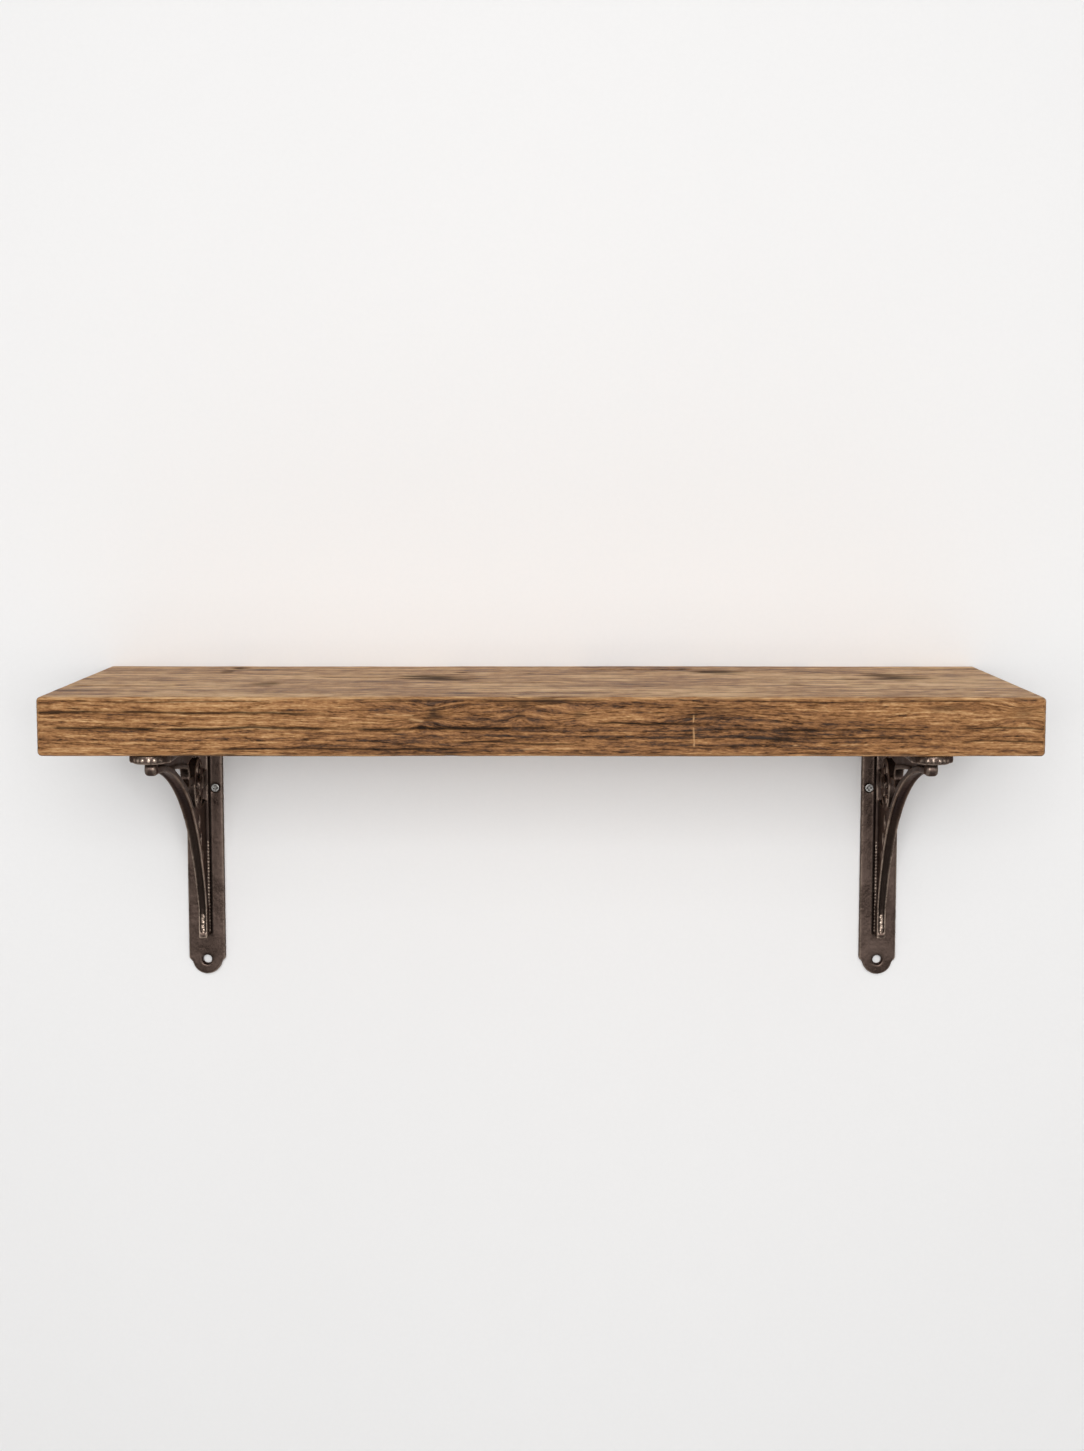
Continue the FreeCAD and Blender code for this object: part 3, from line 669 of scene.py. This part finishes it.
def make_plank(material):
    """The plank: worn round edges with chips, raised grain, cracks and knots, inside the sawn size."""
    points, normals, faces = plank_blank()
    flow, ring, dark = grain_flow(points)
    deep, crack = crack_depth(points, normals)
    pale = rub_marks(points, normals)
    corner = smooth_step(0.02, 0.29, 1 - np.max(np.abs(normals), axis=1))
    late = (ring / RING_WIDTH) % 1.0
    raised = smooth_step(0.35, 0.9, late) * (1 - smooth_step(0.93, 1.0, late))

    # The sawn ends are worn less than the sides.
    sawn = smooth_step(0.05, 0.4, np.abs(normals[:, 0]))
    calm = 1 - 0.8 * sawn
    chips = LARGE_CHIP * smooth_step(0.25, 0.8, soft_noise(points, (11, 5, 5), seed=41))
    chips += SMALL_CHIP * smooth_step(0.3, 0.8, soft_noise(points, (3.2, 2.0, 2.0), seed=42))
    chips *= 1 - 0.9 * sawn
    inward = SOFT_WOOD * (1 - raised) * (1 - 0.7 * sawn)
    inward += WAVE * (1 + soft_noise(points, (70, 22, 22), seed=43) * calm)
    inward += RIPPLE * (1 + soft_noise(points, (9, 1.6, 1.6), seed=44) * calm)
    inward += corner * chips + deep + KNOT_SINK * dark
    points = points - normals * inward[:, None]
    points[:, 1] = np.minimum(points[:, 1], 0.0)
    plank = new_piece("waxed_plank", points, faces.tolist(), "shelf_board", material)

    facing = smooth_step(0.4, 0.9, -normals[:, 1])
    upward = smooth_step(0.4, 0.9, normals[:, 2])
    ends = sum(amount * smooth_step(first, last, points[:, 0]) for amount, first, last in PALE_ENDS)
    rubbed = corner * (0.30 + 0.7 * smooth_step(-0.1, 0.7, soft_noise(points, (16, 3, 3), seed=45)))
    keep_values(
        plank.data,
        flat=smooth_step(0.4, 0.9, np.abs(normals[:, 2])),
        end=smooth_step(0.4, 0.9, np.abs(normals[:, 0])),
        flow=flow,
        # Painted light: faces that look upward are made paler, standing in for light from above.
        tone=PLANK_TONE + facing * (ends - FRONT_DARKER) + TOP_PAINTED_LIGHT * upward,
        ring=ring,
        knot=dark,
        crack=0.95 * crack,
        rubbed=np.clip(np.maximum(rubbed * 0.75, pale * 0.9), 0, 1),
    )


# Brackets


def read_rows(items, name, width, kind=float):
    """One row of numbers for each point or edge of a mesh."""
    values = np.zeros(len(items) * width, kind)
    items.foreach_get(name, values)
    return values.reshape(-1, width)


def move_points(mesh, points):
    """Puts the points of a mesh at places in millimetres."""
    mesh.vertices.foreach_set("co", (points * MM).ravel())
    mesh.update()


def softened(rows, pairs, turns, share):
    """Places or marks after some turns, each a share of the way to the mean of the neighbours."""
    counts = np.bincount(pairs.ravel(), minlength=len(rows)).astype(float)[:, None]
    for _ in range(turns):
        total = np.zeros_like(rows)
        for column in range(rows.shape[1]):
            for here, there in ((0, 1), (1, 0)):
                weights = rows[pairs[:, there], column]
                total[:, column] += np.bincount(pairs[:, here], weights, len(rows))
        rows = rows + share * (total / counts - rows)
    return rows


def brace_marks(across, reach, drop, normals):
    """The brace's face: a sunk channel along its middle, and a raised rim along each edge, as shares."""
    rows = (np.clip(drop, 0, None) * BRACE_ROWS).astype(int)
    furthest = np.zeros(rows.max() + 1)
    middle = np.abs(across) < FOOT_HALF
    np.maximum.at(furthest, rows[middle], reach[middle])
    face = smooth_step(2.6, 1.6, furthest[rows] - reach) * smooth_step(0.1, 0.4, -normals[:, 1])
    face *= smooth_step(*MARK_START, drop) * smooth_step(0.75, 0.45, np.abs(normals[:, 0]))
    half = np.interp(drop, (TAPER_TOP, TAPER_END), (BRACE_HALF, FOOT_HALF))
    aside = np.abs(across) / half
    channel = face * smooth_step(0.62, 0.45, aside) * smooth_step(CHANNEL_END, CHANNEL_END - 2, drop)
    rim = face * peak(aside, 0.86, 0.12) * smooth_step(CHANNEL_END + 5, CHANNEL_END + 3, drop)
    return channel, rim


def bead_marks(across, reach, drop, normals):
    """Small cast beads: down the rib's inner edge, in a wavy row at the foot, and across the arm's end."""
    places = [(*RIB_BEAD_LINE, down) for down in np.arange(*RIB_BEADS)]
    for number, down in enumerate(np.arange(*FOOT_BEADS)):
        places.append((FOOT_BEAD_SWAY * math.sin(number * 1.7), FOOT_BEAD_REACH, down))
    beads = np.zeros(len(across))
    here = np.stack([across, reach, drop], axis=1)
    for number, place in enumerate(places):
        close = np.all(np.abs(here - place) < 2.0, axis=1)
        size = BEAD_SIZE + 0.14 * math.sin(number * 2.4)
        gap = np.sum((here[close] - place) ** 2, axis=1)
        beads[close] = np.maximum(beads[close], np.exp(-gap / size**2))
    end = smooth_step(0.4, 0.8, -normals[:, 1]) * smooth_step(*ARM_END, reach)
    end *= peak(drop, ARM_BEAD_DROP, 1.0)
    for side in ARM_BEADS:
        beads = np.maximum(beads, end * peak(across, side, 0.75))
    return beads


def rim_dashes(rim, across, drop):
    """Short raised dashes along the lower part of the brace's outer rim."""
    short, long = (np.sin(drop * 2 * math.pi / spacing) for spacing in DASH_SPACING)
    lower = smooth_step(*DASH_START, drop) * smooth_step(*DASH_END, drop)
    dashes = smooth_step(0.1, 0.8, short + 0.5 * long) * lower
    return 0.75 * np.clip(1.6 * rim, 0, 1) * dashes * (across < 0)


def cast_blank(node):
    """A copy of a bracket's solid, with an even fine mesh that lies on it."""
    name = f"{node}_casting"
    piece = bpy.data.objects.new(name, nodes[node].data.copy())
    bpy.context.scene.collection.objects.link(piece)
    remesh = piece.modifiers.new("skin", "REMESH")
    remesh.mode = "VOXEL"
    remesh.voxel_size = SKIN_CELL * MM
    snap = piece.modifiers.new("snap", "SHRINKWRAP")
    snap.target = nodes[node]
    solved = piece.evaluated_get(bpy.context.evaluated_depsgraph_get())
    mesh = bpy.data.meshes.new_from_object(solved)
    mesh.name = name
    piece.modifiers.clear()
    piece.data = mesh
    return piece


def make_casting(node, material):
    """A bracket with the soft edges, cast marks and faintly uneven skin of a sand casting."""
    piece = cast_blank(node)
    mesh = piece.data
    low, high = box_mm(node)
    pairs = read_rows(mesh.edges, "vertices", 2, np.int32)
    points = softened(read_rows(mesh.vertices, "co", 3) / MM, pairs, SOFT_TURNS, TURN_SHARE)
    move_points(mesh, points)
    normals = read_rows(mesh.vertices, "normal", 3)
    curve = np.sum((points - softened(points, pairs, WIDE_TURNS, 1.0)) * normals, axis=1)

    # Places on the bracket: across it from its middle, out from the wall and down from the board.
    middle = (low[0] + high[0]) / 2
    across = (points[:, 0] - middle) * -np.sign(middle)
    reach = -points[:, 1]
    drop = high[2] - points[:, 2]
    marks = np.stack(brace_marks(across, reach, drop, normals), axis=1)
    channel, rim = softened(marks, pairs, MARK_TURNS, TURN_SHARE).T
    beads = np.maximum(bead_marks(across, reach, drop, normals), rim_dashes(rim, across, drop))

    outward = 0.04 * soft_noise(points, (7, 7, 7), seed=51)
    outward += 0.03 * soft_noise(points, (1.8, 1.8, 1.8), seed=52)
    outward += RIM_HEIGHT * rim + BEAD_HEIGHT * beads - CHANNEL_DEPTH * channel - SKIN_SHRINK
    points = points + normals * outward[:, None]
    move_points(mesh, np.clip(points, low, high))
    mesh.shade_smooth()
    # The edge mark is partly rubbed wear and partly painted highlight; rims, beads and dashes add painted
    # glints.
    edge = np.maximum(smooth_step(0.07, 0.26, curve), 0.5 * rim)
    # Painted shade: concave places and the channel, kept for darkening the iron's colour.
    hollow = np.maximum(smooth_step(0.04, 0.25, -curve), 0.7 * channel)
    keep_values(mesh, edge=np.clip(np.maximum(edge, 1.2 * beads), 0, 1), hollow=hollow * (1 - beads))
    finish_piece(piece, node, material)


# Screws


def screw_rings(around, length):
    """Rings from the recess in the head to the tip, as reach from the axis and place along it."""
    rings = []
    for share in np.linspace(*HEAD_SHARES, HEAD_RINGS):
        reach = share * SCREW_HEAD
        across, up = np.abs(reach * np.cos(around)), np.abs(reach * np.sin(around))
        upright = smooth_step(*RECESS_SIDES, across) * smooth_step(*RECESS_ENDS, up)
        level = smooth_step(*RECESS_SIDES, up) * smooth_step(*RECESS_ENDS, across)
        rings.append((reach, RECESS_DEPTH * np.maximum(upright, level)))
    rings.append((SCREW_HEAD, HEAD_RIM))
    rings.append((SCREW_RADIUS, SCREW_HEAD - SCREW_RADIUS + HEAD_RIM))
    rings.append((SCREW_RADIUS, SHANK_END))
    for along in np.arange(THREAD_START, length - TIP_GAP, THREAD_PITCH / TURN_RINGS):
        taper = min(1.0, (length - along) / SCREW_TIP)
        turn = (along / THREAD_PITCH - around / (2 * math.pi)) % 1.0
        crest = np.clip(1 - np.abs(turn - 0.5) / CREST_SHARE, 0, 1)
        rings.append(((SCREW_CORE + (SCREW_RADIUS - SCREW_CORE) * crest) * taper, along))
    return rings


def ring_faces(count):
    """Faces between the rings of a screw, closed by one more point at each end."""
    turns = [(step, (step + 1) % SCREW_SIDES) for step in range(SCREW_SIDES)]
    last = (count - 1) * SCREW_SIDES
    head_point, tip_point = count * SCREW_SIDES, count * SCREW_SIDES + 1
    faces = []
    for first in range(0, last, SCREW_SIDES):
        second = first + SCREW_SIDES
        faces += [(first + step, first + after, second + after, second + step) for step, after in turns]
    for step, after in turns:
        faces.append((after, step, head_point))
        faces.append((last + step, last + after, tip_point))
    return faces


def make_screw(node, material):
    """A countersunk screw with a cross recess in its head and a thread cut along its core."""
    low, high = box_mm(node)
    length = max(high - low)
    axis = int(np.argmax(high - low))
    first, second = (other for other in range(3) if other != axis)
    around = np.linspace(0, 2 * math.pi, SCREW_SIDES, endpoint=False)
    rings = screw_rings(around, length)
    points = np.zeros((len(rings) * SCREW_SIDES + 2, 3))
    for number, (reach, along) in enumerate(rings):
        block = points[number * SCREW_SIDES : (number + 1) * SCREW_SIDES]
        block[:, first] = reach * np.cos(around)
        block[:, second] = reach * np.sin(around)
        block[:, axis] = along
    points[-2:, axis] = RECESS_DEPTH, length
    head_place = (low + high) / 2
    head_place[axis] = low[axis]
    points = np.clip(points + head_place, low, high)
    faces = ring_faces(len(rings))
    # Seen along the depth, the other two axes turn the other way round.
    if axis == 1:
        faces = [face[::-1] for face in faces]
    new_piece(f"{node}_steel", points, faces, node, material)


wood = plank_wood()
iron = bracket_iron()
steel = screw_steel()
make_plank(wood)
for node in ("left_bracket", "right_bracket"):
    make_casting(node, iron)
for node in sorted(nodes):
    if "screw" in node:
        make_screw(node, steel)


# Wall, floor, light and camera

# Sizes in metres. Light from behind the wall reaches what lies within the rest gap of it.
STAGE_HALF = 3.0
WALL_Y = 0.0002
WALL_TOP = 2.2
FLOOR_Z = -1.25
FLOOR_FRONT = -4.0
REST_GAP = 0.0015
# Paint: colours, the share of them that a darker patch keeps, and patch and speck sizes in millimetres.
WALL_PAINT = (0.87, 0.866, 0.864)
FLOOR_PAINT = (0.80, 0.79, 0.78)
PATCH_SHARE = 0.985
PAINT_PATCH = 420.0
PAINT_SPECK = 3.0
# Strength of the sky where it lights the shelf, what is added where it is seen, and its colour.
SKY_LIGHT = 0.22
SKY_SEEN = 0.66
SKY_COLOUR = (1.0, 0.995, 0.99, 1)
# Strips in front of the shelf: height and power of each, their depth, and the greatest height they face.
FRONT_STRIPS = ((-0.3, 4.0), (0.2, 28.5), (0.7, 18.6), (1.2, 4.8))
STRIP_Y = -2.6
STRIP_AIM = 0.2
# Small lamps at both sides, for sparks on the iron.
SPARK_SIDES = (-0.8, 0.8)
SPARK_HEIGHT = -0.1
# Camera: place in metres, tilt and turn in degrees, lens and sensor in millimetres.
CAMERA_PLACE = (0.00473, -1.522, 0.14322)
CAMERA_TILT = 90 - 6.26
CAMERA_TURN = 0.18
CAMERA_LENS = 54.58
CAMERA_SENSOR = 36.0


def shown(tree, path):
    """One where a ray shows the surface itself, straight or mirrored, and nought where it lights others."""
    mirrored = calc(tree, "MAXIMUM", path["Is Glossy Ray"], path["Is Transmission Ray"])
    return calc(tree, "MAXIMUM", path["Is Camera Ray"], mirrored)


def one_sided(name, colour, bounce):
    """A matt paint that shows only from its front, so the back of the shelf can be looked at.

    The bounce is the share of its colour that it gives to light on its way to other surfaces. Light from
    behind passes through it to what rests on it.
    """
    material, tree, shader = new_material(name, Roughness=0.9, Specular_IOR_Level=0.15)
    path = put(tree, "ShaderNodeLightPath").outputs
    mask, height = mottled(tree, place_mm(tree), PAINT_PATCH, PAINT_SPECK)
    plain, darker, passed = ((*(part * share for part in colour), 1) for share in (1.0, PATCH_SHARE, bounce))
    tint = mixed(tree, mask, plain, darker)
    feed(tree, shader, {"Base Color": mixed(tree, shown(tree, path), passed, tint)})
    bump(tree, shader, height, strength=0.08, distance=0.4 * MM)
    behind = put(tree, "ShaderNodeNewGeometry").outputs["Backfacing"]
    resting = calc(tree, "LESS_THAN", path["Ray Length"], REST_GAP)
    lit = calc(tree, "MULTIPLY", path["Is Shadow Ray"], resting)
    unseen = calc(tree, "MAXIMUM", behind, lit)
    clear = put(tree, "ShaderNodeBsdfTransparent").outputs[0]
    both = put(tree, "ShaderNodeMixShader", unseen, shader.outputs[0], clear).outputs[0]
    feed(tree, tree.nodes["Material Output"], {"Surface": both})
    return material


def stage_sheet(name, near, far, material):
    """A flat sheet of the stage across its whole width, between two places given as depth and height."""
    corners = [(-STAGE_HALF, *near), (STAGE_HALF, *near), (STAGE_HALF, *far), (-STAGE_HALF, *far)]
    mesh = bpy.data.meshes.new(name)
    mesh.from_pydata(corners, [], [(0, 1, 2, 3)])
    sheet = bpy.data.objects.new(name, mesh)
    bpy.context.scene.collection.objects.link(sheet)
    mesh.materials.append(material)


def soft_box(name, place, target, width, height, power):
    """A lamp that shines from a rectangle towards the target."""
    lamp = bpy.data.lights.new(name, "AREA")
    lamp.shape = "RECTANGLE"
    lamp.size = width
    lamp.size_y = height
    lamp.energy = power
    box = bpy.data.objects.new(name, lamp)
    bpy.context.scene.collection.objects.link(box)
    way = Vector(target) - Vector(place)
    box.rotation_euler = way.to_track_quat("-Z", "Y").to_euler()
    box.location = place


stage_sheet("wall", (WALL_Y, FLOOR_Z), (WALL_Y, WALL_TOP), one_sided("wall_paint", WALL_PAINT, 1.0))
stage_sheet("floor", (FLOOR_FRONT, FLOOR_Z), (WALL_Y, FLOOR_Z), one_sided("floor_paint", FLOOR_PAINT, 0.65))

for level, power in FRONT_STRIPS:
    aim = (0, 0, min(level, STRIP_AIM))
    soft_box("front_strip", (0, STRIP_Y, level), aim, width=1.4, height=0.5, power=power)
soft_box("top_box", (0, -0.5, 2.1), (0, -0.15, 0), width=2.0, height=0.7, power=3.0)
for side in SPARK_SIDES:
    place = (side, -1.9, SPARK_HEIGHT)
    soft_box("spark_box", place, (0, 0, SPARK_HEIGHT), width=0.08, height=0.08, power=0.9)
soft_box("back_box", (0, 2.2, 0.9), (0, 0, 0), width=2.4, height=1.6, power=30.0)

world = bpy.data.worlds.new("studio")
bpy.context.scene.world = world
world.use_nodes = True
sky = world.node_tree
seen = shown(sky, put(sky, "ShaderNodeLightPath").outputs)
strength = calc(sky, "MULTIPLY_ADD", seen, SKY_SEEN, SKY_LIGHT)
feed(sky, sky.nodes["Background"], {"Color": SKY_COLOUR, "Strength": strength})

lens = bpy.data.cameras.new("camera")
lens.sensor_fit = "VERTICAL"
lens.sensor_height = CAMERA_SENSOR
lens.lens = CAMERA_LENS
camera = bpy.data.objects.new("camera", lens)
bpy.context.scene.collection.objects.link(camera)
camera.location = CAMERA_PLACE
camera.rotation_euler = (math.radians(CAMERA_TILT), 0.0, math.radians(CAMERA_TURN))
bpy.context.scene.camera = camera
bpy.context.scene.view_settings.view_transform = "Standard"
